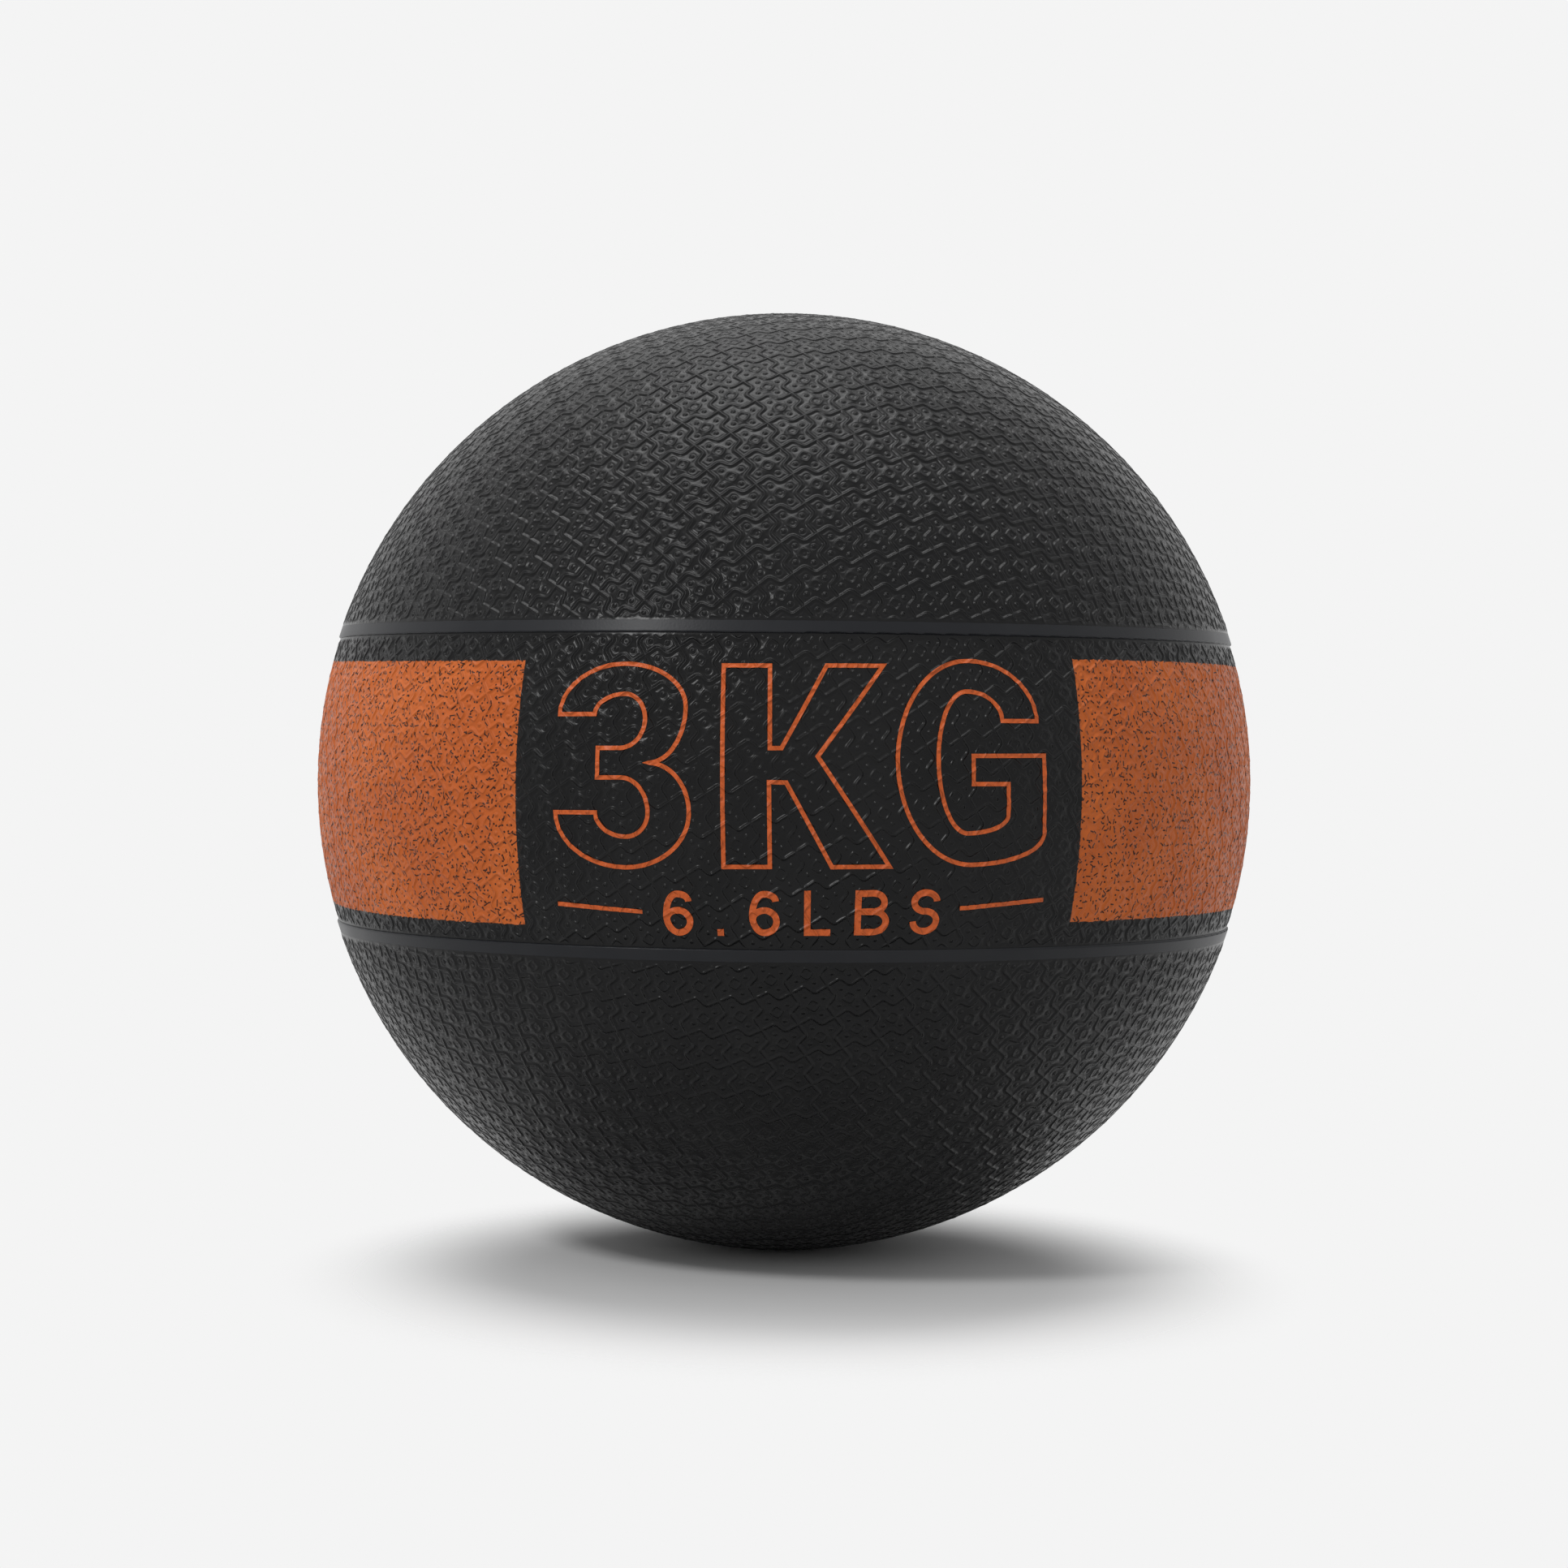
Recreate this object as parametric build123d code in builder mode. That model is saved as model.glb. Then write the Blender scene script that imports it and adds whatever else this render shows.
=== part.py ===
"""A weighted, inflatable rubber ball, made of its cover panels, ribs, weight shells, winding, bladder and valve.

The origin is the ball's centre. +Z runs through the poles of the two caps.
The middle of the band's front panel faces -Y, and the valve comes out at +Y.
"""

import os
from math import cos, degrees, radians, sin, sqrt

from build123d import *

os.makedirs("parts", exist_ok=True)

# Outside, in millimetres and degrees
ball_radius = 115.0
rib_latitude = 18.1
rib_width = 2.8
rib_edge_radius = 0.4
band_recess = 0.5

# Layers, from the outside in
cover_thickness = 2.6
weight_thickness = 10.2
winding_thickness = 0.8
bladder_thickness = 1.3
bond_line = 0.2

# Valve
pad_radius = 9.0
pad_edge_radius = 0.5
stem_radius = 6.0
flange_radius = 18.0
flange_thickness = 1.5
core_radius = 3.0
core_clearance = 0.05
core_recess = 0.4
core_sole = 3.0
needle_radius = 1.05
needle_lead_in = 0.3
housing_floor = 1.25
air_hole_radius = 1.2

# Each layer's radii
cover_inner = ball_radius - cover_thickness
band_outer = ball_radius - band_recess
weight_outer = cover_inner - bond_line
weight_inner = weight_outer - weight_thickness
winding_outer = weight_inner - bond_line
winding_inner = winding_outer - winding_thickness
bladder_outer = winding_inner - bond_line
bladder_inner = bladder_outer - bladder_thickness
flange_outer = bladder_inner - bond_line
flange_inner = flange_outer - flange_thickness

# The rib's edges, as latitudes
half_rib_angle = degrees(rib_width / 2 / ball_radius)
cap_latitude = rib_latitude + half_rib_angle
band_latitude = rib_latitude - half_rib_angle

# The four sides that a cover panel can face, with the azimuth where its quarter turn starts
panel_starts = {"front": 225.0, "right": 315.0, "back": 45.0, "left": 135.0}
panel_turn = 90.0

# The socket's radius, and distances along the valve's axis from the ball's centre
socket_radius = core_radius + core_clearance
socket_bottom = flange_inner + housing_floor
core_bottom = socket_bottom + core_clearance
core_top = band_outer - core_recess
needle_bottom = core_bottom + core_sole


def meridian_plane(azimuth):
    """The upright half plane through the poles at an azimuth, with its x outwards and its y upwards."""
    turn = radians(azimuth)
    return Plane(origin=(0, 0, 0), x_dir=(cos(turn), sin(turn), 0), z_dir=(sin(turn), -cos(turn), 0))


def polar(radius, latitude):
    """A point of a meridian section."""
    return (radius * cos(radians(latitude)), radius * sin(radians(latitude)))


def valve_arc(radius, start, end):
    """An arc about the ball's centre between two offsets from the valve's axis."""
    points = [(offset, sqrt(radius**2 - offset**2)) for offset in (start, (start + end) / 2, end)]
    return ThreePointArc(*points)


def shell_section(inner, outer, low, high):
    """A meridian section between two radii and two latitudes, drawn in the active sketch."""
    middle = (low + high) / 2
    with BuildLine() as outline:
        Line(polar(inner, low), polar(outer, low))
        ThreePointArc(polar(outer, low), polar(outer, middle), polar(outer, high))
        Line(polar(outer, high), polar(inner, high))
        ThreePointArc(polar(inner, high), polar(inner, middle), polar(inner, low))
    make_face(outline.edges())


def valve_cylinder(radius, inner, outer, mode=Mode.ADD):
    """A cylinder on the valve's axis, +Y, between two distances from the ball's centre."""
    with BuildSketch(Plane.XZ.offset(-outer)) as circle:
        Circle(radius)
    extrude(circle.sketch, amount=outer - inner, mode=mode)


def finish(part, name):
    """Labels a piece and writes its STEP file."""
    part.label = name
    export_step(part, f"parts/{name}.step")


# Cap covers: four gores above the upper rib, and four below the lower one
for side, start in panel_starts.items():
    with BuildPart() as upper_cap:
        with BuildSketch(meridian_plane(start)):
            shell_section(cover_inner, ball_radius, cap_latitude, 90)
        revolve(axis=Axis.Z, revolution_arc=panel_turn)
    finish(upper_cap.part, f"upper_cap_{side}")

    with BuildPart() as lower_cap:
        with BuildSketch(meridian_plane(start)):
            shell_section(cover_inner, ball_radius, -90, -cap_latitude)
        revolve(axis=Axis.Z, revolution_arc=panel_turn)
    finish(lower_cap.part, f"lower_cap_{side}")

# Band cover: four panels, a little under the ribs' level, with the valve pad's seat in the back one
for side, start in panel_starts.items():
    with BuildPart() as band:
        with BuildSketch(meridian_plane(start)):
            shell_section(cover_inner, band_outer, -band_latitude, band_latitude)
        revolve(axis=Axis.Z, revolution_arc=panel_turn)
        if side == "back":
            valve_cylinder(pad_radius + bond_line, 0, ball_radius, Mode.SUBTRACT)
    finish(band.part, f"band_{side}")

# Ribs: rings between band and caps, with the edge over the band rounded
for name, side in (("upper_rib", 1), ("lower_rib", -1)):
    with BuildPart() as rib:
        low, high = sorted((side * band_latitude, side * cap_latitude))
        with BuildSketch(meridian_plane(0)) as rib_section:
            shell_section(cover_inner, ball_radius, low, high)
            band_edge = polar(ball_radius, side * band_latitude)
            fillet(rib_section.vertices().sort_by_distance(band_edge)[0], radius=rib_edge_radius)
        revolve(axis=Axis.Z)
    finish(rib.part, name)

# Valve pad: a smooth round of cover rubber, level with the band, with its outer edge rounded
with BuildPart() as valve_pad:
    with BuildSketch(Plane.XY) as pad_section:
        with BuildLine():
            pad_bottom = valve_arc(cover_inner, socket_radius, pad_radius)
            pad_top = valve_arc(band_outer, pad_radius, socket_radius)
            Line(pad_bottom @ 1, pad_top @ 0)
            Line(pad_top @ 1, pad_bottom @ 0)
        make_face()
        fillet(pad_section.vertices().sort_by_distance(pad_top @ 0)[0], radius=pad_edge_radius)
    revolve(axis=Axis.Y)
finish(valve_pad.part, "valve_pad")

# Weight shells: two half shells of heavy rubber, the back one with the valve stem's hole
for side, start in (("front", 180.0), ("back", 0.0)):
    with BuildPart() as weight_shell:
        with BuildSketch(meridian_plane(start)):
            shell_section(weight_inner, weight_outer, -90, 90)
        revolve(axis=Axis.Z, revolution_arc=180)
        if side == "back":
            valve_cylinder(stem_radius + bond_line, 0, ball_radius, Mode.SUBTRACT)
    finish(weight_shell.part, f"{side}_weight_shell")

# Winding and bladder: closed shells but for the valve stem's hole
for name, inner, outer in (
    ("nylon_winding", winding_inner, winding_outer),
    ("bladder", bladder_inner, bladder_outer),
):
    with BuildPart() as shell:
        with BuildSketch(meridian_plane(0)):
            shell_section(inner, outer, -90, 90)
        revolve(axis=Axis.Z)
        valve_cylinder(stem_radius + bond_line, 0, ball_radius, Mode.SUBTRACT)
    finish(shell.part, name)

# Valve housing: a flange inside the bladder, and the stem that holds the core
with BuildPart() as valve_housing:
    with BuildSketch(Plane.XY):
        with BuildLine():
            flange_bottom = valve_arc(flange_inner, air_hole_radius, flange_radius)
            flange_top = valve_arc(flange_outer, flange_radius, stem_radius)
            Line(flange_bottom @ 1, flange_top @ 0)
            stem_top = valve_arc(weight_outer, stem_radius, socket_radius)
            Line(flange_top @ 1, stem_top @ 0)
            Polyline(
                stem_top @ 1,
                (socket_radius, socket_bottom),
                (air_hole_radius, socket_bottom),
                flange_bottom @ 0,
            )
        make_face()
    revolve(axis=Axis.Y)
finish(valve_housing.part, "valve_housing")

# Valve core: the soft plug, with the needle's blind bore and its lead-in
with BuildPart() as valve_core:
    valve_cylinder(core_radius, core_bottom, core_top)
    valve_cylinder(needle_radius, needle_bottom, core_top, Mode.SUBTRACT)
    mouth = valve_core.faces().sort_by(Axis.Y)[-1].edges().sort_by(SortBy.RADIUS)[0]
    chamfer(mouth, length=needle_lead_in)
finish(valve_core.part, "valve_core")
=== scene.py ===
from math import asin, atan, atan2, cos, degrees, pi, radians, sin, tan

import bpy
import numpy as np
from mathutils import Matrix, Vector


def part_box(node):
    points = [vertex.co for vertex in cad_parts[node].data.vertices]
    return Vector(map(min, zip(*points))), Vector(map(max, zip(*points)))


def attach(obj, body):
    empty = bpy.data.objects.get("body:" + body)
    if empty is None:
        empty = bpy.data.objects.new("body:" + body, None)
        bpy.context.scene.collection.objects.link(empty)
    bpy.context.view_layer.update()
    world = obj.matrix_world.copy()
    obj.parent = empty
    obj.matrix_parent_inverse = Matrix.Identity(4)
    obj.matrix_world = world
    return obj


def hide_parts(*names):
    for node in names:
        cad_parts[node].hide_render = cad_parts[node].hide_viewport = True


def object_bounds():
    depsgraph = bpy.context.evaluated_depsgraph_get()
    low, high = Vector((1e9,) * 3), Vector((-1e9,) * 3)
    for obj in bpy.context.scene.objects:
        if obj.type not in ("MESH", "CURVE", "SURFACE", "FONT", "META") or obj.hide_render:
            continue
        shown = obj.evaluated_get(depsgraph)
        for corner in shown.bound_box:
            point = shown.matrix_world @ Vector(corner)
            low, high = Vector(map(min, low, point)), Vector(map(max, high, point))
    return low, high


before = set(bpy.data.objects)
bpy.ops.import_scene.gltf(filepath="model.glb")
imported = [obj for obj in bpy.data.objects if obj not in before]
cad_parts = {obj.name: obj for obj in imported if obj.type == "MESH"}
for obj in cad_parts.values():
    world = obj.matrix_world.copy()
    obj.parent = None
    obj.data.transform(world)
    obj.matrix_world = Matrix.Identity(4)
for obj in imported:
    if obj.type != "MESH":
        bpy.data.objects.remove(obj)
cad_low, cad_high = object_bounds()

# ---------------------------------------------------------------- the ball's own sizes, in metres
MM = 0.001
BALL_RADIUS = cad_high.z
BAND_RADIUS = -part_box("band_front")[0].y
RIB_LOW, RIB_HIGH = (corner.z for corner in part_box("upper_rib"))
CAP_EDGE = asin(RIB_HIGH / BALL_RADIUS)
BAND_EDGE = asin(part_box("band_front")[1].z / BAND_RADIUS)
PAD_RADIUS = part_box("valve_pad")[1].x
COVER_INSIDE = min(vertex.co.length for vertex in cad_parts["upper_cap_front"].data.vertices)
SIDE_TURNS = {"front": 0.0, "right": pi / 2, "back": pi, "left": -pi / 2}

# The moulded relief: a square lattice of cells, each with a ring, four pips and winding ridges between
RELIEF_HEIGHT = 0.30 * MM
BAND_CELLS_ALONG = 86
BAND_CELLS_ACROSS = 19
CAP_SPREAD = 0.75
CAP_CELLS = 24.1
UPPER_TURN = radians(17.5)
LOWER_TURN = radians(12.0)
RING_RADIUS = 0.172
PIP_PLACE = (0.314, 0.163)
MEANDER = ((1, 0.1036), (2, 0.0355), (3, 0.0101))
SOFTEN = 0.040
EDGE_FADE = 0.9 * MM
EDGE_PLAIN = 0.3 * MM
PAD_GAP = 0.2 * MM

# The print on the band, in degrees of latitude and of longitude from the front
PANEL_START = 33.0
PANEL_HALF_HEIGHT = 14.75
PANEL_SLIP = -0.2
PANEL_SWAY = 0.38

# Meshes: coarse cells of a panel, each subdivided into FINE x FINE
FINE = 10
GORE_COLUMNS = 20
GORE_ROWS = 10
BAND_COLUMNS = 43
BAND_ROWS = 17


# ---------------------------------------------------------------- shader wires: a shader value that adds and multiplies
class Wire:
    """A shader value. Arithmetic on it adds Math nodes to its tree."""

    def __init__(self, tree, socket):
        self.tree = tree
        self.socket = socket

    def math(self, operation, *others):
        node = self.tree.nodes.new("ShaderNodeMath")
        node.operation = operation
        for index, value in enumerate((self, *others)):
            if isinstance(value, Wire):
                self.tree.links.new(value.socket, node.inputs[index])
            else:
                node.inputs[index].default_value = float(value)
        return Wire(self.tree, node.outputs[0])

    def __add__(self, other):
        return self.math("ADD", other)

    def __sub__(self, other):
        return self.math("SUBTRACT", other)

    def __mul__(self, other):
        return self.math("MULTIPLY", other)

    def __truediv__(self, other):
        return self.math("DIVIDE", other)

    def __neg__(self):
        return self.math("MULTIPLY", -1)

    __radd__ = __add__
    __rmul__ = __mul__


def apply(operation, function, *values):
    """The same sum on shader wires and on arrays."""
    if isinstance(values[0], Wire):
        return values[0].math(operation, *values[1:])
    return function(*values)


def bell(value, width):
    """A smooth bump of height 1 around 0."""
    scaled = value * (1 / width)
    return apply("EXPONENT", np.exp, -(scaled * scaled))


def wrap(value):
    """The signed distance to the nearest whole number."""
    return value - apply("ROUND", np.round, value)


def size_of(value):
    return apply("ABSOLUTE", np.abs, value)


def root(value):
    return apply("SQRT", np.sqrt, value)


def smaller(one, other):
    return apply("MINIMUM", np.minimum, one, other)


def meander(along):
    """How far a winding ridge strays to the side, and how much its slant stretches a distance taken straight across."""
    stray = slope = 0
    for turns, swing in MEANDER:
        angle = along * (2 * pi * turns)
        stray = apply("SINE", np.sin, angle) * swing + stray
        slope = apply("COSINE", np.cos, angle) * (swing * 2 * pi * turns) + slope
    return stray, root(slope * slope + 1.0)


def relief(across, down):
    """The relief's height over one cell and its copies, about 1 on a ridge, from a place in cells."""
    x, y = wrap(across), wrap(down)
    reach = root(x * x + y * y)
    diamond = (root(x * x + 0.0009) + root(y * y + 0.0009)) * 0.72 + reach * 0.28
    ring = bell(diamond - RING_RADIUS - 0.012, 0.036)
    ring_dish = bell(reach, 0.085) * -0.55 + bell(reach, 0.045) * 0.75
    far, near = PIP_PLACE
    pip = None
    for pip_x, pip_y in ((far, -near), (-far, near), (near, far), (-near, -far)):
        from_x, from_y = x - pip_x, y - pip_y
        distance = root(from_x * from_x + from_y * from_y)
        pip = distance if pip is None else smaller(pip, distance)
    pips = bell(pip, 0.043) * 1.05 - bell(pip - 0.088, 0.034) * 0.42
    stray_down, stretch_down = meander(down)
    stray_across, stretch_across = meander(across)
    upright = size_of(wrap(across - 0.5 + stray_down)) / stretch_down
    level = size_of(wrap(down - 0.5 - stray_across)) / stretch_across
    line = smaller(upright, level)
    ridge = bell(line, 0.034) - bell(line - 0.088, 0.040) * 0.5
    return ring + ring_dish + pips + ridge


def soft_relief_table(count=192):
    """The relief of one cell with its finest edges rounded off, as far as the mesh can hold it."""
    steps = np.arange(count) / count
    across, down = np.meshgrid(steps, steps, indexing="ij")
    waves = np.fft.fft2(relief(across, down))
    pitch = np.fft.fftfreq(count, 1 / count)
    blur = np.exp(-2 * (pi * SOFTEN * pitch) ** 2)
    return np.real(np.fft.ifft2(waves * blur[:, None] * blur[None, :]))


SOFT_RELIEF = soft_relief_table()


def soft_relief(across, down):
    """The rounded relief at any place in cells, read between the table's points."""
    count = len(SOFT_RELIEF)
    a, d = (across % 1) * count, (down % 1) * count
    a0, d0 = np.floor(a).astype(int), np.floor(d).astype(int)
    ta, td = a - a0, d - d0
    a0, d0 = a0 % count, d0 % count
    a1, d1 = (a0 + 1) % count, (d0 + 1) % count
    low = SOFT_RELIEF[a0, d0] * (1 - ta) + SOFT_RELIEF[a1, d0] * ta
    high = SOFT_RELIEF[a0, d1] * (1 - ta) + SOFT_RELIEF[a1, d1] * ta
    return low * (1 - td) + high * td


# ---------------------------------------------------------------- places on the ball
def direction(lon, lat):
    """Unit vectors: longitude 0 faces -Y and grows towards +X."""
    return np.stack([np.cos(lat) * np.sin(lon), -np.cos(lat) * np.cos(lon), np.sin(lat)], -1)


def lon_lat(points):
    unit = points / np.linalg.norm(points, axis=1, keepdims=True)
    return np.arctan2(unit[:, 0], -unit[:, 1]), np.arcsin(np.clip(unit[:, 2], -1, 1))


def band_cells(lon, lat):
    """Where a point of the band lies in the relief's lattice, which closes round the ball."""
    turn = atan2(BAND_CELLS_ACROSS, BAND_CELLS_ALONG)
    cell = 2 * pi / np.hypot(BAND_CELLS_ALONG, BAND_CELLS_ACROSS)
    east, north = lon / cell, lat / cell
    return east * cos(turn) + north * sin(turn), east * sin(turn) - north * cos(turn)


def cap_cells(lon, lat, upper):
    """Where a point of a cap lies in the lattice: 360 degrees round the pole take up 270 degrees of the flat pattern."""
    from_pole = pi / 2 - np.abs(lat)
    out = CAP_CELLS * np.tan(np.clip(from_pole, 0, pi / 2) / 2) ** CAP_SPREAD
    east = out * np.sin(CAP_SPREAD * lon)
    north = out * np.cos(CAP_SPREAD * lon) * (-1 if upper else 1)
    turn = UPPER_TURN if upper else LOWER_TURN
    return east * cos(turn) + north * sin(turn), east * sin(turn) - north * cos(turn)


def fade(distance, reach):
    """0 at an edge, rising smoothly to 1 at reach from it."""
    t = np.clip(distance / reach, 0, 1)
    return t * t * (3 - 2 * t)


# ---------------------------------------------------------------- mesh helpers
def deselect():
    if bpy.context.mode != "OBJECT":
        bpy.ops.object.mode_set(mode="OBJECT")
    bpy.ops.object.select_all(action="DESELECT")


def activate(obj):
    deselect()
    obj.select_set(True)
    bpy.context.view_layer.objects.active = obj


def read_points(obj):
    points = np.empty(len(obj.data.vertices) * 3, np.float32)
    obj.data.vertices.foreach_get("co", points)
    return points.reshape(-1, 3).astype(float)


def write_points(obj, points):
    obj.data.vertices.foreach_set("co", points.astype(np.float32).ravel())
    obj.data.update()


def grid_patch(columns, rows, place):
    """A grid whose own square, 0 to 1 each way, is laid on the ball by place(u, v)."""
    deselect()
    bpy.ops.mesh.primitive_grid_add(x_subdivisions=columns, y_subdivisions=rows, size=1.0)
    patch = bpy.context.object
    points = read_points(patch)
    lon, lat = place(points[:, 0] + 0.5, points[:, 1] + 0.5)
    write_points(patch, direction(lon, lat))
    return patch


def panel_blank(name, patches, outer, inner):
    """A closed curved panel: patches joined, extruded inwards, and its outer side subdivided."""
    deselect()
    for patch in patches:
        patch.select_set(True)
    bpy.context.view_layer.objects.active = patches[0]
    if len(patches) > 1:
        bpy.ops.object.join()
    panel = bpy.context.object
    panel.name = panel.data.name = name
    write_points(panel, read_points(panel) * outer)
    bpy.ops.object.mode_set(mode="EDIT")
    bpy.ops.mesh.select_all(action="SELECT")
    bpy.ops.mesh.remove_doubles(threshold=0.05 * MM)
    bpy.ops.mesh.extrude_region_move()
    bpy.ops.transform.resize(value=(inner / outer,) * 3, center_override=(0, 0, 0))
    bpy.ops.mesh.select_all(action="SELECT")
    bpy.ops.mesh.normals_make_consistent(inside=False)
    bpy.ops.mesh.select_mode(type="FACE")
    bpy.ops.mesh.select_all(action="DESELECT")
    bpy.ops.object.mode_set(mode="OBJECT")
    middle = (outer + inner) / 2
    far = np.linalg.norm(read_points(panel), axis=1) > middle
    for polygon in panel.data.polygons:
        polygon.select = bool(far[list(polygon.vertices)].all())
    bpy.ops.object.mode_set(mode="EDIT")
    bpy.ops.mesh.subdivide(number_cuts=FINE - 1)
    bpy.ops.object.mode_set(mode="OBJECT")
    points = read_points(panel)
    reach = np.linalg.norm(points, axis=1, keepdims=True)
    write_points(panel, np.where(reach > middle, points / reach * outer, points))
    return panel


def write_map(obj, name, values):
    """A UV map with one pair of values for each vertex."""
    corners = np.empty(len(obj.data.loops), np.int32)
    obj.data.loops.foreach_get("vertex_index", corners)
    layer = obj.data.uv_layers.get(name) or obj.data.uv_layers.new(name=name)
    layer.data.foreach_set("uv", values[corners].astype(np.float32).ravel())


def mould(panel, outer, inner, across, down, strength):
    """Raises the relief on a panel's outer side, and keeps its lattice as a UV map and its fading as an attribute."""
    points = read_points(panel)
    reach = np.linalg.norm(points, axis=1)
    on_top = reach > (outer + inner) / 2
    lift = soft_relief(across, down) * RELIEF_HEIGHT * strength * on_top
    write_points(panel, points * ((reach + lift) / reach)[:, None])
    write_map(panel, "cells", np.stack([across, down], -1))
    shown = panel.data.attributes.new("relief_strength", "FLOAT", "POINT")
    shown.data.foreach_set("value", (strength * on_top).astype(np.float32))
    panel.data.polygons.foreach_set("use_smooth", np.ones(len(panel.data.polygons), bool))
    activate(panel)
    bpy.ops.object.shade_smooth_by_angle(angle=radians(60))


def copy_turned(source, name, turn):
    """A copy with its own mesh, turned about the poles' axis."""
    piece = source.copy()
    piece.data = source.data.copy()
    piece.name = piece.data.name = name
    bpy.context.scene.collection.objects.link(piece)
    piece.data.transform(Matrix.Rotation(turn, 4, "Z"))
    return piece


# ---------------------------------------------------------------- the covers
def gore_top(u, v):
    """The corner of a gore at the pole."""
    left, right = np.tan(u * pi / 4), np.tan(v * pi / 4)
    return np.arctan2(right - left, right + left), np.arctan(1 / np.hypot(left, right).clip(1e-12))


def gore_side(sign):
    """One lower half of a gore, from its side seam to its middle."""
    def place(u, v):
        turn = u * pi / 4
        top = np.arctan(np.cos(turn))
        return sign * (pi / 4 - turn), CAP_EDGE + (top - CAP_EDGE) * v
    return place


def make_caps():
    blank = panel_blank(
        "gore_blank",
        [
            grid_patch(GORE_COLUMNS, GORE_COLUMNS, gore_top),
            grid_patch(GORE_COLUMNS, GORE_ROWS, gore_side(-1)),
            grid_patch(GORE_COLUMNS, GORE_ROWS, gore_side(1)),
        ],
        BALL_RADIUS,
        COVER_INSIDE,
    )
    caps = []
    for half in ("upper", "lower"):
        for side, turn in SIDE_TURNS.items():
            gore = copy_turned(blank, f"{half}_cap_{side}_cover", turn)
            if half == "lower":
                gore.data.transform(Matrix.Rotation(pi, 4, direction(np.array(turn), np.array(0.0))))
            points = read_points(gore)
            lon, lat = lon_lat(points)
            unrolled = turn + np.arctan2(np.sin(lon - turn), np.cos(lon - turn))
            across, down = cap_cells(unrolled, lat, half == "upper")
            strength = fade((np.abs(lat) - CAP_EDGE) * BALL_RADIUS - EDGE_PLAIN, EDGE_FADE)
            mould(gore, BALL_RADIUS, COVER_INSIDE, across, down, strength)
            caps.append((gore, f"{half}_cap_{side}"))
    bpy.data.objects.remove(blank)
    return caps


def cut_pad_hole(band):
    """The round hole for the valve pad, through the middle of the back panel."""
    deselect()
    bpy.ops.mesh.primitive_cylinder_add(
        vertices=96, radius=PAD_RADIUS + PAD_GAP, depth=60 * MM, location=(0, BALL_RADIUS, 0), rotation=(pi / 2, 0, 0)
    )
    cutter = bpy.context.object
    activate(band)
    cut = band.modifiers.new("pad hole", "BOOLEAN")
    cut.operation, cut.object, cut.solver = "DIFFERENCE", cutter, "EXACT"
    bpy.ops.object.modifier_apply(modifier=cut.name)
    bpy.data.objects.remove(cutter)


def make_bands():
    def place(u, v):
        return (u - 0.5) * pi / 2, (v - 0.5) * 2 * BAND_EDGE

    bands = []
    blank = panel_blank("band_blank", [grid_patch(BAND_COLUMNS, BAND_ROWS, place)], BAND_RADIUS, COVER_INSIDE)
    for side, turn in SIDE_TURNS.items():
        band = copy_turned(blank, f"band_{side}_cover", turn)
        if side == "back":
            cut_pad_hole(band)
        points = read_points(band)
        lon, lat = lon_lat(points)
        lon = turn + np.arctan2(np.sin(lon - turn), np.cos(lon - turn))
        across, down = band_cells(lon, lat)
        strength = fade((BAND_EDGE - np.abs(lat)) * BAND_RADIUS - EDGE_PLAIN, EDGE_FADE)
        if side == "back":
            strength = strength * fade(np.hypot(points[:, 0], points[:, 2]) - PAD_RADIUS - EDGE_FADE, EDGE_FADE)
        mould(band, BAND_RADIUS, COVER_INSIDE, across, down, strength)
        write_map(band, "print", np.stack([np.degrees(lon), np.degrees(lat)], -1))
        bands.append((band, f"band_{side}"))
    bpy.data.objects.remove(blank)
    return bands


# ---------------------------------------------------------------- the marks: strokes in mm on the band, x to the right, z up
OUTLINE_STROKE = 0.95
SMALL_STROKE = 1.45
PRINT_TILT = radians(0.67)
INK_LIFT = 0.09 * MM
INK_THICKNESS = 0.06 * MM
STROKE_STEP = 0.4

K_OUTLINE = (
    (-17.4, 27.6), ("line", -7.1, 27.5), ("line", -7.1, 9.5), ("line", -4.6, 9.5), ("line", 5.5, 27.5),
    ("line", 18.1, 27.4), ("line", 3.2, 7.7), ("line", 19.0, -16.2), ("line", 6.3, -16.2), ("line", -3.6, 2.1),
    ("line", -7.3, 2.2), ("line", -7.2, -16.1), ("line", -17.3, -16.1), "close",
)
THREE_OUTLINE = (
    (-55.1, 17.0), ("rise", -40.0, 28.1), ("sweep", -25.6, 18.3), ("rise", -33.8, 6.4), ("sweep", -24.7, -4.3),
    ("rise", -39.3, -16.3), ("sweep", -55.7, -4.4), ("line", -46.0, -4.4), ("rise", -39.0, -9.6),
    ("sweep", -33.9, -4.3), ("rise", -40.0, 3.2), ("line", -45.5, 3.2), ("line", -45.5, 9.6),
    ("line", -40.4, 9.6), ("sweep", -34.7, 15.8), ("rise", -39.5, 21.4), ("sweep", -46.5, 17.0), "close",
)
G_OUTLINE = (
    (20.7, 6.4), ("rise", 37.9, 28.5), ("sweep", 54.3, 15.1), ("line", 45.5, 15.2), ("rise", 37.2, 21.7),
    ("sweep", 29.9, 6.4), ("rise", 36.8, -9.2), ("sweep", 46.5, -5.4), ("line", 46.5, 1.4), ("line", 38.0, 1.5),
    ("line", 38.1, 7.6), ("line", 55.7, 7.5), ("line", 55.8, -9.7), ("rise", 38.0, -16.1),
    ("sweep", 20.7, 6.4), "close",
)
DASHES = (((-56.6, -24.7), ("line", -36.1, -26.2)), ((35.9, -25.8), ("line", 57.0, -24.4)))
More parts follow.
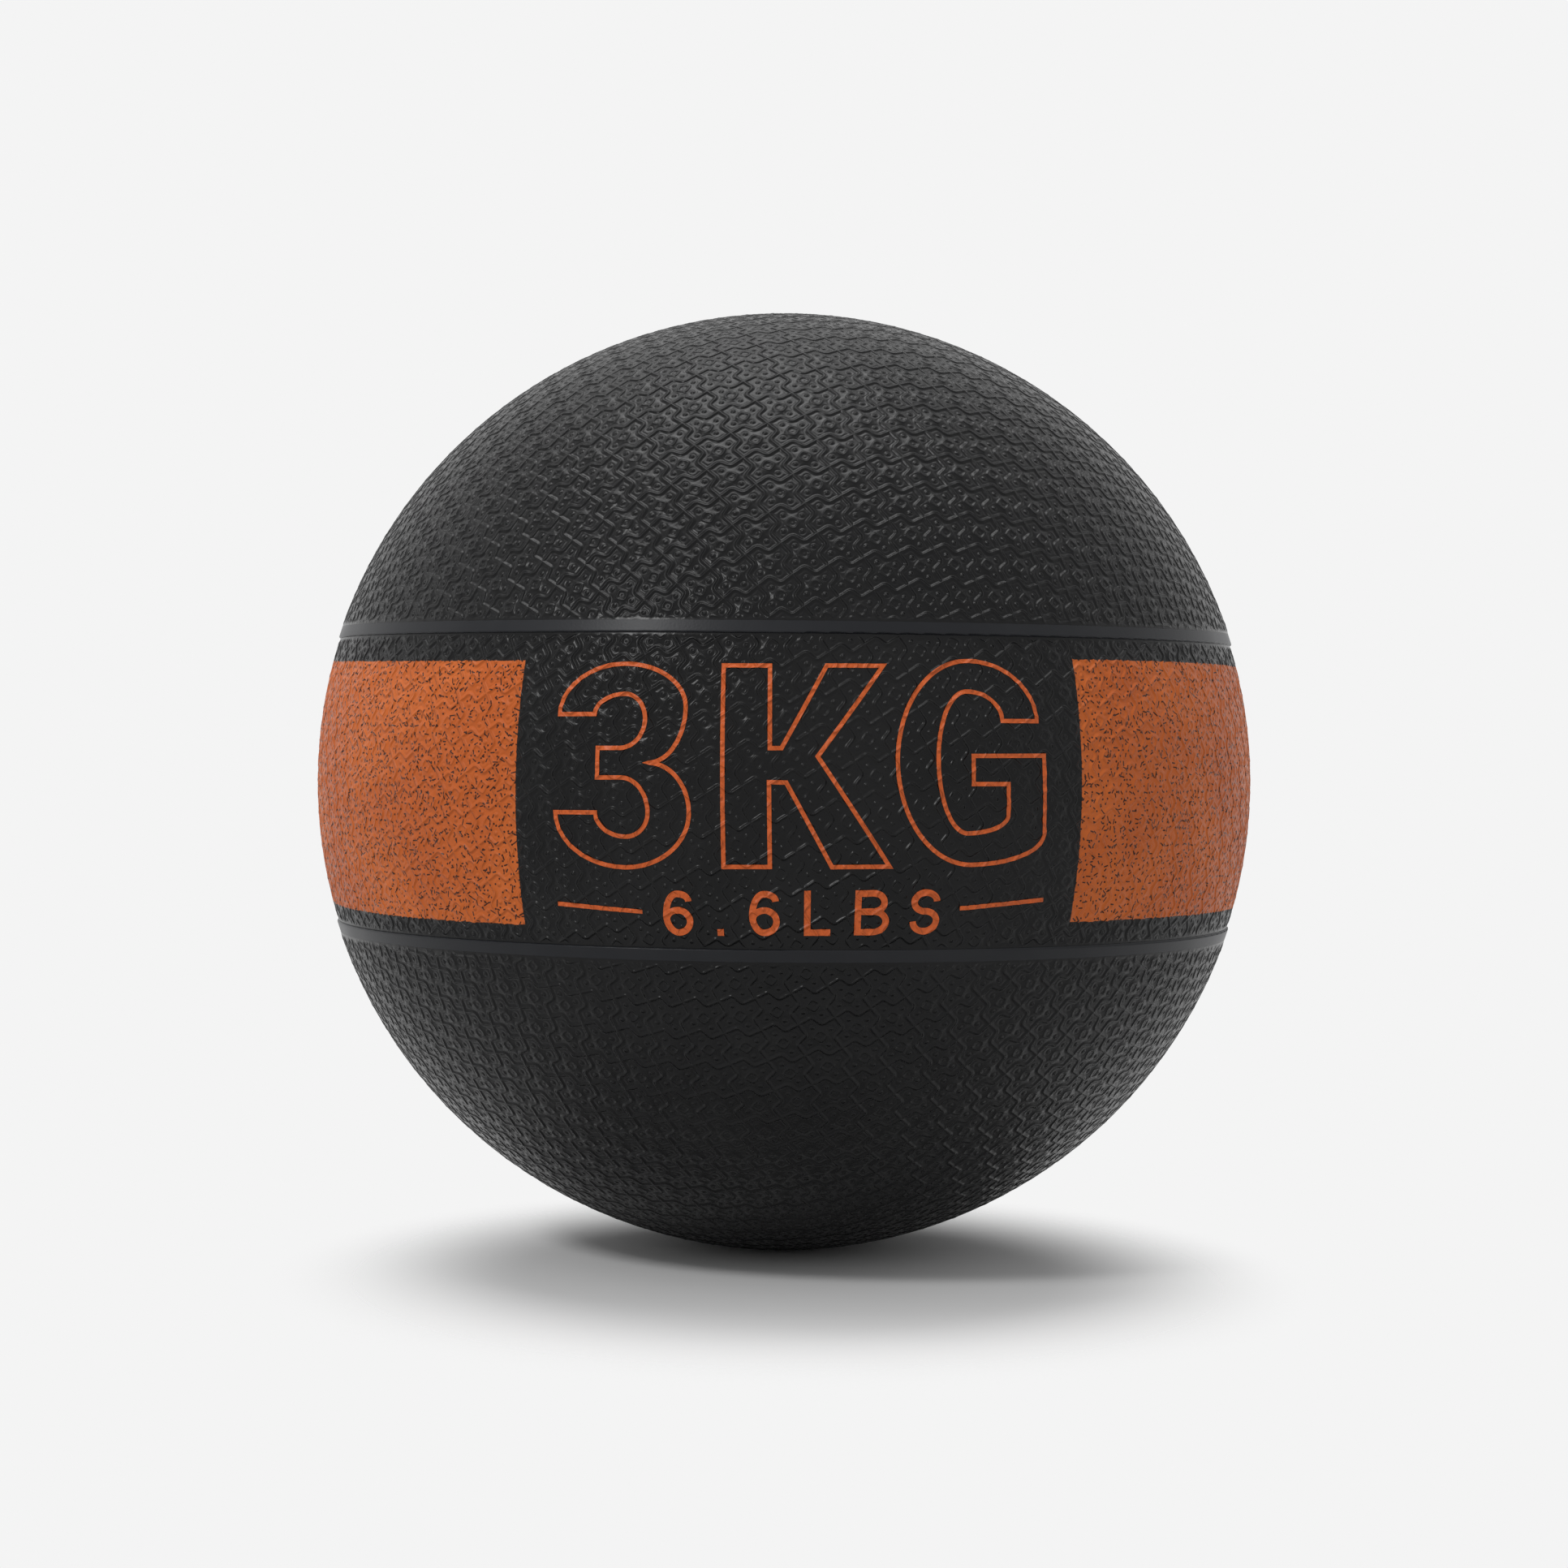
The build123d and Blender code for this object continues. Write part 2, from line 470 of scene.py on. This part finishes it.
SIX = (
    (5.9, -2.4), ("rise", 3.4, -0.72), ("sweep", 0.72, -5.6), ("rise", 3.4, -9.43), ("sweep", 6.08, -6.9),
    ("rise", 3.4, -4.4), ("sweep", 0.8, -6.4),
)
DOT = ((0.72, -8.6), ("line", 0.72, -10.15))
L_STROKE = ((0.72, 0.0), ("line", 0.72, -9.43), ("line", 5.9, -9.43))
B_STROKE = (
    (0.72, -9.43), ("line", 0.72, -0.72), ("line", 4.2, -0.72), ("sweep", 6.6, -2.75), ("rise", 4.2, -4.8),
    ("sweep", 7.08, -7.1), ("rise", 4.2, -9.43), "close",
)
B_BAR = ((0.9, -4.8), ("line", 4.2, -4.8))
S_STROKE = (
    (6.1, -2.7), ("rise", 3.4, -0.72), ("sweep", 0.85, -2.8), ("rise", 3.4, -4.9), ("sweep", 6.18, -7.1),
    ("rise", 3.4, -9.43), ("sweep", 0.72, -7.2),
)
SMALL_TOP = -21.35
SMALL_MARKS = (
    (-31.3, SIX), (-19.1, DOT), (-11.9, SIX), (0.3, L_STROKE), (11.6, B_STROKE), (11.6, B_BAR), (24.2, S_STROKE),
)


def follow(outline):
    """Points every STROKE_STEP along an outline of straight lines and quarter ovals, and whether it is closed.

    A rise leaves upright and arrives level, and a sweep leaves level and arrives upright."""
    closed = outline[-1] == "close"
    x, z = outline[0]
    points = [(x, z)]
    for how, to_x, to_z in (step for step in outline[1:] if step != "close"):
        count = max(2, round(np.hypot(to_x - x, to_z - z) * (1 if how == "line" else 1.11) / STROKE_STEP))
        for index in range(1, count + 1):
            part = index / count
            along = (part, part)
            if how == "rise":
                along = (1 - cos(part * pi / 2), sin(part * pi / 2))
            elif how == "sweep":
                along = (sin(part * pi / 2), 1 - cos(part * pi / 2))
            points.append((x + (to_x - x) * along[0], z + (to_z - z) * along[1]))
        x, z = to_x, to_z
    points = np.array(points)
    if closed and np.hypot(*(points[0] - points[-1])) > 0.01:
        count = max(2, round(np.hypot(*(points[0] - points[-1])) / STROKE_STEP))
        parts = np.arange(1, count + 1)[:, None] / count
        points = np.vstack([points, points[-1] + (points[0] - points[-1]) * parts])
    return points, closed


def mitres(points, closed):
    """At each point, the sideways vector that keeps the stroke's width round corners."""
    ahead = np.diff(points, axis=0)
    ahead /= np.linalg.norm(ahead, axis=1, keepdims=True)
    before = np.vstack([ahead[-1:] if closed else ahead[:1], ahead])
    after = np.vstack([ahead, ahead[:1] if closed else ahead[-1:]])
    middle = before + after
    middle /= np.linalg.norm(middle, axis=1, keepdims=True)
    wider = 1 / np.clip((middle * before).sum(1), 0.35, 1)
    return np.stack([-middle[:, 1], middle[:, 0]], -1) * wider[:, None]


def ink_stroke(outline, width, shift, level):
    """One stroke of ink: a flat strip laid along its outline on the band's relief."""
    points, closed = follow(outline)
    points = points + np.array(shift)
    sideways = mitres(points, closed)
    deselect()
    rows = 4
    bpy.ops.mesh.primitive_grid_add(x_subdivisions=len(points) - 1, y_subdivisions=rows, size=1.0)
    strip = bpy.context.object
    flat = read_points(strip)
    column = np.rint((flat[:, 0] + 0.5) * (len(points) - 1)).astype(int)
    place = points[column] + sideways[column] * (flat[:, 1] * width)[:, None]
    x = place[:, 0] * cos(PRINT_TILT) - place[:, 1] * sin(PRINT_TILT)
    z = place[:, 0] * sin(PRINT_TILT) + place[:, 1] * cos(PRINT_TILT)
    lon, lat = x * MM / BAND_RADIUS, z * MM / BAND_RADIUS
    across, down = band_cells(lon, lat)
    reach = BAND_RADIUS + soft_relief(across, down) * RELIEF_HEIGHT + INK_LIFT + level
    write_points(strip, direction(lon, lat) * reach[:, None])
    write_map(strip, "cells", np.stack([across, down], -1))
    if closed:
        activate(strip)
        bpy.ops.object.mode_set(mode="EDIT")
        bpy.ops.mesh.select_all(action="SELECT")
        bpy.ops.mesh.remove_doubles(threshold=0.01 * MM)
        bpy.ops.object.mode_set(mode="OBJECT")
    return strip


def make_marks():
    marks = []
    for name, strokes, width in (
        ("mark_3KG", [(THREE_OUTLINE, (0, 0)), (K_OUTLINE, (0, 0)), (G_OUTLINE, (0, 0))], OUTLINE_STROKE),
        ("mark_dashes", [(dash, (0, 0)) for dash in DASHES], OUTLINE_STROKE),
        ("mark_6.6LBS", [(stroke, (left, SMALL_TOP)) for left, stroke in SMALL_MARKS], SMALL_STROKE),
    ):
        strips = [ink_stroke(outline, width, shift, (n % 2) * 0.02 * MM) for n, (outline, shift) in enumerate(strokes)]
        deselect()
        for strip in strips:
            strip.select_set(True)
        bpy.context.view_layer.objects.active = strips[0]
        if len(strips) > 1:
            bpy.ops.object.join()
        mark = bpy.context.object
        mark.name = mark.data.name = name
        bpy.ops.object.mode_set(mode="EDIT")
        bpy.ops.mesh.select_all(action="SELECT")
        bpy.ops.mesh.normals_make_consistent(inside=False)
        bpy.ops.object.mode_set(mode="OBJECT")
        face_out(mark)
        thickness = mark.modifiers.new("ink", "SOLIDIFY")
        thickness.thickness, thickness.offset = INK_THICKNESS, -1
        activate(mark)
        bpy.ops.object.modifier_apply(modifier=thickness.name)
        bpy.ops.object.shade_smooth_by_angle(angle=radians(60))
        marks.append(mark)
    return marks


def face_out(obj):
    """Turns the faces that look into the ball."""
    activate(obj)
    bpy.ops.object.mode_set(mode="EDIT")
    bpy.ops.mesh.select_mode(type="FACE")
    bpy.ops.mesh.select_all(action="DESELECT")
    bpy.ops.object.mode_set(mode="OBJECT")
    for polygon in obj.data.polygons:
        polygon.select = polygon.normal.dot(polygon.center) < 0
    bpy.ops.object.mode_set(mode="EDIT")
    bpy.ops.mesh.flip_normals()
    bpy.ops.object.mode_set(mode="OBJECT")


# ---------------------------------------------------------------- materials
def new_material(name):
    material = bpy.data.materials.new(name)
    material.use_nodes = True
    tree = material.node_tree
    return material, tree, tree.nodes["Principled BSDF"]


def uv_pair(tree, name):
    """The two values of a piece's own UV map."""
    source = tree.nodes.new("ShaderNodeUVMap")
    source.uv_map = name
    parts = tree.nodes.new("ShaderNodeSeparateXYZ")
    tree.links.new(source.outputs[0], parts.inputs[0])
    return Wire(tree, parts.outputs[0]), Wire(tree, parts.outputs[1])


def attribute(tree, name):
    source = tree.nodes.new("ShaderNodeAttribute")
    source.attribute_name = name
    return Wire(tree, source.outputs["Fac"])


def noise(tree, scale, detail=3.0, roughness=0.55):
    """Cloudy variation from 0 to 1 through the solid, scale clouds a metre."""
    place = tree.nodes.new("ShaderNodeTexCoord")
    cloud = tree.nodes.new("ShaderNodeTexNoise")
    cloud.inputs["Scale"].default_value = scale
    cloud.inputs["Detail"].default_value = detail
    cloud.inputs["Roughness"].default_value = roughness
    tree.links.new(place.outputs["Object"], cloud.inputs["Vector"])
    return Wire(tree, cloud.outputs["Fac"])


def between(wire, low, high, to_low=0.0, to_high=1.0, smooth=True):
    """Maps low..high to to_low..to_high, held at the ends."""
    node = wire.tree.nodes.new("ShaderNodeMapRange")
    node.interpolation_type = "SMOOTHSTEP" if smooth else "LINEAR"
    for index, value in enumerate((wire, low, high, to_low, to_high)):
        if isinstance(value, Wire):
            wire.tree.links.new(value.socket, node.inputs[index])
        else:
            node.inputs[index].default_value = value
    return Wire(wire.tree, node.outputs[0])


def blend_colours(tree, factor, one, other):
    node = tree.nodes.new("ShaderNodeMix")
    node.data_type = "RGBA"
    tree.links.new(factor.socket, node.inputs[0])
    for index, colour in ((6, one), (7, other)):
        if isinstance(colour, Wire):
            tree.links.new(colour.socket, node.inputs[index])
        else:
            node.inputs[index].default_value = (*colour, 1.0)
    return Wire(tree, node.outputs[2])


def raise_bump(tree, shader, height, distance, strength=1.0):
    node = tree.nodes.new("ShaderNodeBump")
    node.inputs["Strength"].default_value = strength
    node.inputs["Distance"].default_value = distance
    tree.links.new(height.socket, node.inputs["Height"])
    tree.links.new(node.outputs[0], shader.inputs["Normal"])


def feed(shader, name, wire):
    wire.tree.links.new(wire.socket, shader.inputs[name])


RUBBER_BLACK = (0.0060, 0.0060, 0.0064)
RUBBER_WORN = (0.0100, 0.0100, 0.0104)
PRINT_ORANGE = (0.640, 0.150, 0.030)
PRINT_ORANGE_DEEP = (0.560, 0.122, 0.024)
CRISP_HEIGHT = 0.22 * MM


def moulded_rubber(name, printed=False):
    """Black satin rubber with the crisp part of the relief, and on the band the printed panels."""
    material, tree, shader = new_material(name)
    across, down = uv_pair(tree, "cells")
    strength = attribute(tree, "relief_strength")
    height = relief(across, down) * strength
    grain = noise(tree, 2600, 2.0)
    cloud = noise(tree, 34, 3.0)
    wear = between(cloud, 0.40, 0.70)
    colour = blend_colours(tree, wear * 0.7, RUBBER_BLACK, RUBBER_WORN)
    roughness = cloud * 0.10 + 0.22
    if printed:
        lon, lat = uv_pair(tree, "print")
        ink = panel_ink(tree, lon, lat, height, grain)
        orange = blend_colours(tree, between(cloud, 0.35, 0.65), PRINT_ORANGE, PRINT_ORANGE_DEEP)
        colour = blend_colours(tree, ink, colour, orange)
        roughness = roughness + ink * 0.12
    feed(shader, "Base Color", colour)
    feed(shader, "Roughness", roughness)
    shader.inputs["Specular IOR Level"].default_value = 0.16
    raise_bump(tree, shader, height + grain * 0.05, CRISP_HEIGHT)
    return material


def cell_scatter(tree, x, y, seed):
    """A random point near each place: the way from it, and three random values of its own."""
    place = tree.nodes.new("ShaderNodeCombineXYZ")
    tree.links.new((x + seed).socket, place.inputs[0])
    tree.links.new((y + seed * 1.7).socket, place.inputs[1])
    scatter = tree.nodes.new("ShaderNodeTexVoronoi")
    scatter.voronoi_dimensions = "2D"
    scatter.inputs["Scale"].default_value = 1.0
    tree.links.new(place.outputs[0], scatter.inputs["Vector"])
    away = tree.nodes.new("ShaderNodeVectorMath")
    away.operation = "SUBTRACT"
    tree.links.new(place.outputs[0], away.inputs[0])
    tree.links.new(scatter.outputs["Position"], away.inputs[1])
    parts = tree.nodes.new("ShaderNodeSeparateXYZ")
    tree.links.new(away.outputs[0], parts.inputs[0])
    random = tree.nodes.new("ShaderNodeSeparateColor")
    tree.links.new(scatter.outputs["Color"], random.inputs[0])
    return Wire(tree, parts.outputs[0]), Wire(tree, parts.outputs[1]), [Wire(tree, s) for s in random.outputs]


def flecks(tree, x, y, seed, spacing, half_length, half_width, share):
    """Dark flecks of the band's own rubber left bare in the print: short dashes turned at random."""
    dx, dy, (turn, pick, size) = cell_scatter(tree, x / spacing, y / spacing, seed)
    angle = turn * (2 * pi)
    c, s = angle.math("COSINE"), angle.math("SINE")
    along = size_of(dx * c + dy * s)
    aside = size_of(dy * c - dx * s)
    reach = (size * 0.6 + 0.4) * (half_length / spacing)
    over = root(smaller_away(along - reach) + aside * aside)
    inside = between(over, half_width / spacing * 0.75, half_width / spacing * 1.25, 1.0, 0.0)
    return inside * pick.math("LESS_THAN", share)


def smaller_away(value):
    """The square of a value, or 0 below 0."""
    above = value.math("MAXIMUM", 0.0)
    return above * above


def panel_ink(tree, lon, lat, height, grain):
    """1 where the orange print lies: two long panels round the sides, with flecks left bare."""
    from_front = size_of(wrap(lon * (1 / 360))) * 360
    middle = (lon * (2 * pi / 180)).math("SINE") * PANEL_SWAY + PANEL_SLIP
    ragged = (height - 0.3) * 0.05 + (grain - 0.5) * 0.10
    to_edge = (size_of(lat - middle) - PANEL_HALF_HEIGHT) * -1
    to_start = smaller(from_front - PANEL_START, (from_front - (180 - PANEL_START)) * -1)
    inside = between(smaller(to_edge, to_start) + ragged, -0.04, 0.04)
    x, y = lon * DEGREE_MM, lat * DEGREE_MM
    bare = flecks(tree, x, y, 3.1, 1.35, 0.05, 0.22, 0.42)
    bare = bare.math("MAXIMUM", flecks(tree, x, y, 17.3, 2.0, 0.75, 0.15, 0.50))
    bare = bare.math("MAXIMUM", flecks(tree, x, y, 41.9, 1.70, 0.45, 0.17, 0.42))
    return inside * (bare * -0.93 + 1.0)


DEGREE_MM = radians(1) * BAND_RADIUS / MM


def plain_rubber(name, colour, lighter, roughness, specular=0.3, cloud_scale=60.0, grain_height=0.02 * MM):
    """Smooth moulded rubber or plastic with a fine grain and slight clouding."""
    material, tree, shader = new_material(name)
    cloud = noise(tree, cloud_scale)
    grain = noise(tree, 1800, 2.0)
    feed(shader, "Base Color", blend_colours(tree, between(cloud, 0.35, 0.7), colour, lighter))
    feed(shader, "Roughness", cloud * 0.12 + (roughness - 0.06))
    shader.inputs["Specular IOR Level"].default_value = specular
    raise_bump(tree, shader, grain, grain_height)
    return material


def wound_nylon():
    """White thread wound over the bladder in many directions."""
    material, tree, shader = new_material("wound nylon")
    place = tree.nodes.new("ShaderNodeTexCoord")
    height = None
    for turn in ((0.3, 0.2, 0.0), (1.2, 0.5, 0.7), (2.1, 1.1, 1.9)):
        mapping = tree.nodes.new("ShaderNodeMapping")
        mapping.inputs["Rotation"].default_value = turn
        wave = tree.nodes.new("ShaderNodeTexWave")
        wave.inputs["Scale"].default_value = 260
        wave.inputs["Distortion"].default_value = 1.5
        tree.links.new(place.outputs["Object"], mapping.inputs[0])
        tree.links.new(mapping.outputs[0], wave.inputs["Vector"])
        strand = Wire(tree, wave.outputs["Fac"])
        height = strand if height is None else height.math("MAXIMUM", strand)
    feed(shader, "Base Color", blend_colours(tree, height, (0.42, 0.41, 0.38), (0.72, 0.71, 0.67)))
    shader.inputs["Roughness"].default_value = 0.6
    raise_bump(tree, shader, height, 0.1 * MM)
    return material


def print_ink():
    material, tree, shader = new_material("band ink")
    across, down = uv_pair(tree, "cells")
    height = relief(across, down)
    cloud = noise(tree, 90)
    fine = noise(tree, 1500, 2.0)
    mottled = between(fine + cloud * 0.5, 0.55, 0.95)
    feed(shader, "Base Color", blend_colours(tree, mottled, (0.680, 0.125, 0.022), (0.560, 0.100, 0.018)))
    feed(shader, "Roughness", cloud * 0.1 + 0.38)
    shader.inputs["Specular IOR Level"].default_value = 0.3
    raise_bump(tree, shader, height + fine * 0.05, CRISP_HEIGHT)
    return material


def give(obj, material):
    obj.data.materials.clear()
    obj.data.materials.append(material)


def repaint(node, material):
    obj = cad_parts[node]
    obj.data.materials.clear()
    obj.data.materials.append(material)


cover_rubber = moulded_rubber("cover rubber")
band_rubber = moulded_rubber("band rubber", printed=True)
ink = print_ink()
for cap, node in make_caps():
    give(cap, cover_rubber)
    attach(cap, "root")
    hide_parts(node)
for band, node in make_bands():
    give(band, band_rubber)
    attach(band, "root")
    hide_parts(node)
for mark in make_marks():
    give(mark, ink)
    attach(mark, "root")

rib_rubber = plain_rubber("rib rubber", (0.0110, 0.0118, 0.0145), (0.0150, 0.0158, 0.0185), 0.36, 0.20)
weight_rubber = plain_rubber("weight rubber", (0.022, 0.021, 0.020), (0.034, 0.032, 0.030), 0.7, 0.25, 45.0, 0.08 * MM)
butyl_rubber = plain_rubber("butyl rubber", (0.016, 0.016, 0.016), (0.024, 0.024, 0.023), 0.5, 0.3)
valve_rubber = plain_rubber("valve rubber", (0.018, 0.018, 0.019), (0.026, 0.026, 0.027), 0.45, 0.35)
core_rubber = plain_rubber("valve core rubber", (0.050, 0.048, 0.045), (0.070, 0.067, 0.062), 0.5, 0.35)
repaint("upper_rib", rib_rubber)
repaint("lower_rib", rib_rubber)
repaint("valve_pad", valve_rubber)
repaint("front_weight_shell", weight_rubber)
repaint("back_weight_shell", weight_rubber)
repaint("nylon_winding", wound_nylon())
repaint("bladder", butyl_rubber)
repaint("valve_housing", valve_rubber)
repaint("valve_core", core_rubber)


# ---------------------------------------------------------------- camera
CAMERA_DISTANCE = 7.382 * BALL_RADIUS
CAMERA_LON = radians(-2.05)
CAMERA_LAT = radians(1.138)
CAMERA_ROLL = radians(0.508)
AIM = Vector((0.0, 0.0, -0.0006))

eye = Vector(direction(np.array(CAMERA_LON), np.array(CAMERA_LAT))) * CAMERA_DISTANCE
camera_data = bpy.data.cameras.new("camera")
camera_data.sensor_width = 36.0
camera_data.lens = 78.57
camera_data.clip_start = 0.01
camera = bpy.data.objects.new("camera", camera_data)
bpy.context.scene.collection.objects.link(camera)
look = (AIM - eye).to_track_quat("-Z", "Y").to_matrix().to_4x4()
camera.matrix_world = Matrix.Translation(eye) @ look @ Matrix.Rotation(CAMERA_ROLL, 4, "Z")
bpy.context.scene.camera = camera


# ---------------------------------------------------------------- floor, background and light
BACKGROUND = 0.905
FLOOR_FADE = (0.62, 1.30)
SHADOW_MIDDLE = -0.045
SHADOW_WIDE = 0.095
SHADOW_DEEP = 0.110


def split(tree, socket):
    parts = tree.nodes.new("ShaderNodeSeparateXYZ")
    tree.links.new(socket, parts.inputs[0])
    return parts.outputs


def make_floor():
    deselect()
    bpy.ops.mesh.primitive_circle_add(vertices=96, radius=1.2, fill_type="NGON", location=(0, 0, cad_low.z))
    floor = bpy.context.object
    floor.name = "floor"
    material = bpy.data.materials.new("pale floor")
    material.use_nodes = True
    tree = material.node_tree
    tree.nodes.clear()
    place = tree.nodes.new("ShaderNodeTexCoord")
    x, y, z = (Wire(tree, socket) for socket in split(tree, place.outputs["Object"]))
    x, y = x / SHADOW_WIDE, (y - SHADOW_MIDDLE) / SHADOW_DEEP
    gone = between(root(x * x + y * y), *FLOOR_FADE)
    matt = tree.nodes.new("ShaderNodeBsdfDiffuse")
    matt.inputs["Color"].default_value = (FLOOR_GREY, FLOOR_GREY, FLOOR_GREY, 1)
    clear = tree.nodes.new("ShaderNodeBsdfTransparent")
    mix = tree.nodes.new("ShaderNodeMixShader")
    out = tree.nodes.new("ShaderNodeOutputMaterial")
    tree.links.new(gone.socket, mix.inputs[0])
    tree.links.new(matt.outputs[0], mix.inputs[1])
    tree.links.new(clear.outputs[0], mix.inputs[2])
    tree.links.new(mix.outputs[0], out.inputs[0])
    floor.data.materials.append(material)


def make_world(ambient):
    world = bpy.data.worlds.new("studio")
    bpy.context.scene.world = world
    world.use_nodes = True
    tree = world.node_tree
    tree.nodes.clear()
    path = tree.nodes.new("ShaderNodeLightPath")
    seen = Wire(tree, path.outputs["Is Camera Ray"])
    for name in ("Is Glossy Ray", "Is Transmission Ray"):
        seen = seen.math("MAXIMUM", Wire(tree, path.outputs[name]))
    soft = tree.nodes.new("ShaderNodeBackground")
    soft.inputs["Color"].default_value = (1, 1, 1, 1)
    soft.inputs["Strength"].default_value = ambient
    pale = tree.nodes.new("ShaderNodeBackground")
    pale.inputs["Color"].default_value = (BACKGROUND, BACKGROUND, BACKGROUND, 1)
    mix = tree.nodes.new("ShaderNodeMixShader")
    out = tree.nodes.new("ShaderNodeOutputWorld")
    tree.links.new(seen.socket, mix.inputs[0])
    tree.links.new(soft.outputs[0], mix.inputs[1])
    tree.links.new(pale.outputs[0], mix.inputs[2])
    tree.links.new(mix.outputs[0], out.inputs[0])


def softbox(name, place, width, height, watts, aim=(0, 0, 0)):
    data = bpy.data.lights.new(name, "AREA")
    data.shape = "RECTANGLE"
    data.size, data.size_y, data.energy = width, height, watts
    lamp = bpy.data.objects.new(name, data)
    bpy.context.scene.collection.objects.link(lamp)
    place = Vector(place)
    lamp.matrix_world = Matrix.Translation(place) @ (Vector(aim) - place).to_track_quat("-Z", "Y").to_matrix().to_4x4()


FLOOR_GREY = 0.90
make_floor()
make_world(0.50)
softbox("overhead", (-0.10, 0.10, 1.00), 0.7, 0.7, 5.0)
softbox("left front", (-0.70, -0.80, 0.80), 0.22, 0.22, 5.0)
bpy.context.scene.view_settings.view_transform = "Standard"
